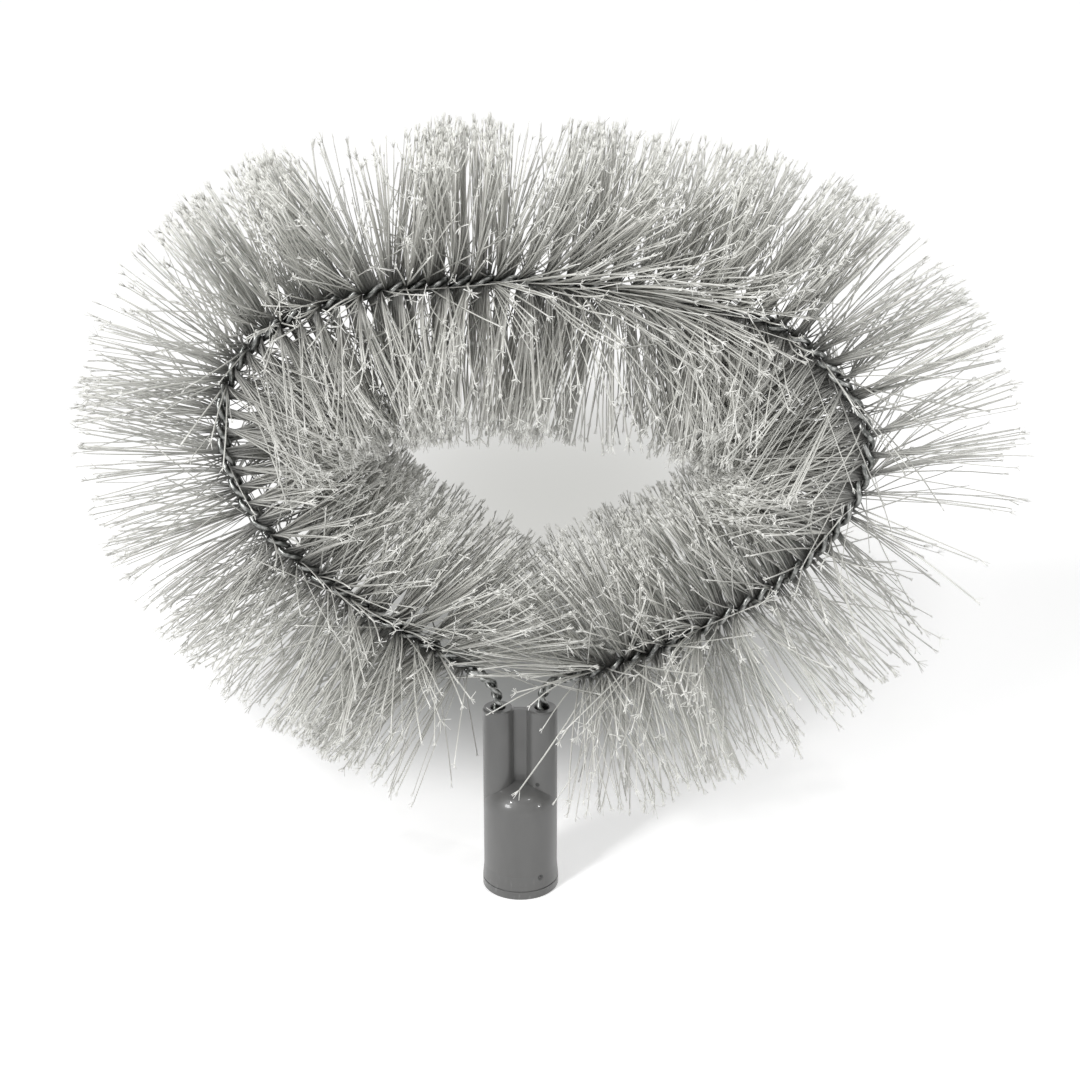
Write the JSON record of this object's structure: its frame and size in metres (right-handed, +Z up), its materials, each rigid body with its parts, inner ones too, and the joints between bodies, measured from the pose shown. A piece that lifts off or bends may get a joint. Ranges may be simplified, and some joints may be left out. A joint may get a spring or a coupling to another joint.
{
  "type": "cobweb brush",
  "caption": "Cobweb brush head: a ring of soft split-tip bristles clamped in a twisted wire loop, on a twin-tube handle socket.",
  "frame": {"origin": "centre of the socket's bottom rim, on the handle bore's axis, in the plane that the brush head stands on", "axes": "+Z up along the handle bore's axis towards the wire loop, +X to the right along the two tubes, so that the loop lies in the XZ plane; -Y is the front"},
  "size_m": [0.3657, 0.1234, 0.3152],
  "materials": {
    "moulded_plastic": "satin",
    "steel_wire": "satin",
    "bristle_plastic": "satin"
  },
  "bodies": {
    "root": {"socket": "moulded_plastic", "wire_strand_a": "steel_wire", "wire_strand_b": "steel_wire", "bristle_tuft_01": "bristle_plastic", "bristle_tuft_02": "bristle_plastic", "bristle_tuft_03": "bristle_plastic", "bristle_tuft_04": "bristle_plastic", "bristle_tuft_05": "bristle_plastic", "bristle_tuft_06": "bristle_plastic", "bristle_tuft_07": "bristle_plastic", "bristle_tuft_08": "bristle_plastic", "bristle_tuft_09": "bristle_plastic", "bristle_tuft_10": "bristle_plastic", "bristle_tuft_11": "bristle_plastic", "bristle_tuft_12": "bristle_plastic", "bristle_tuft_13": "bristle_plastic", "bristle_tuft_14": "bristle_plastic", "bristle_tuft_15": "bristle_plastic", "bristle_tuft_16": "bristle_plastic", "bristle_tuft_17": "bristle_plastic", "bristle_tuft_18": "bristle_plastic", "bristle_tuft_19": "bristle_plastic", "bristle_tuft_20": "bristle_plastic", "bristle_tuft_21": "bristle_plastic", "bristle_tuft_22": "bristle_plastic", "bristle_tuft_23": "bristle_plastic", "bristle_tuft_24": "bristle_plastic"}
  },
  "joints": []
}
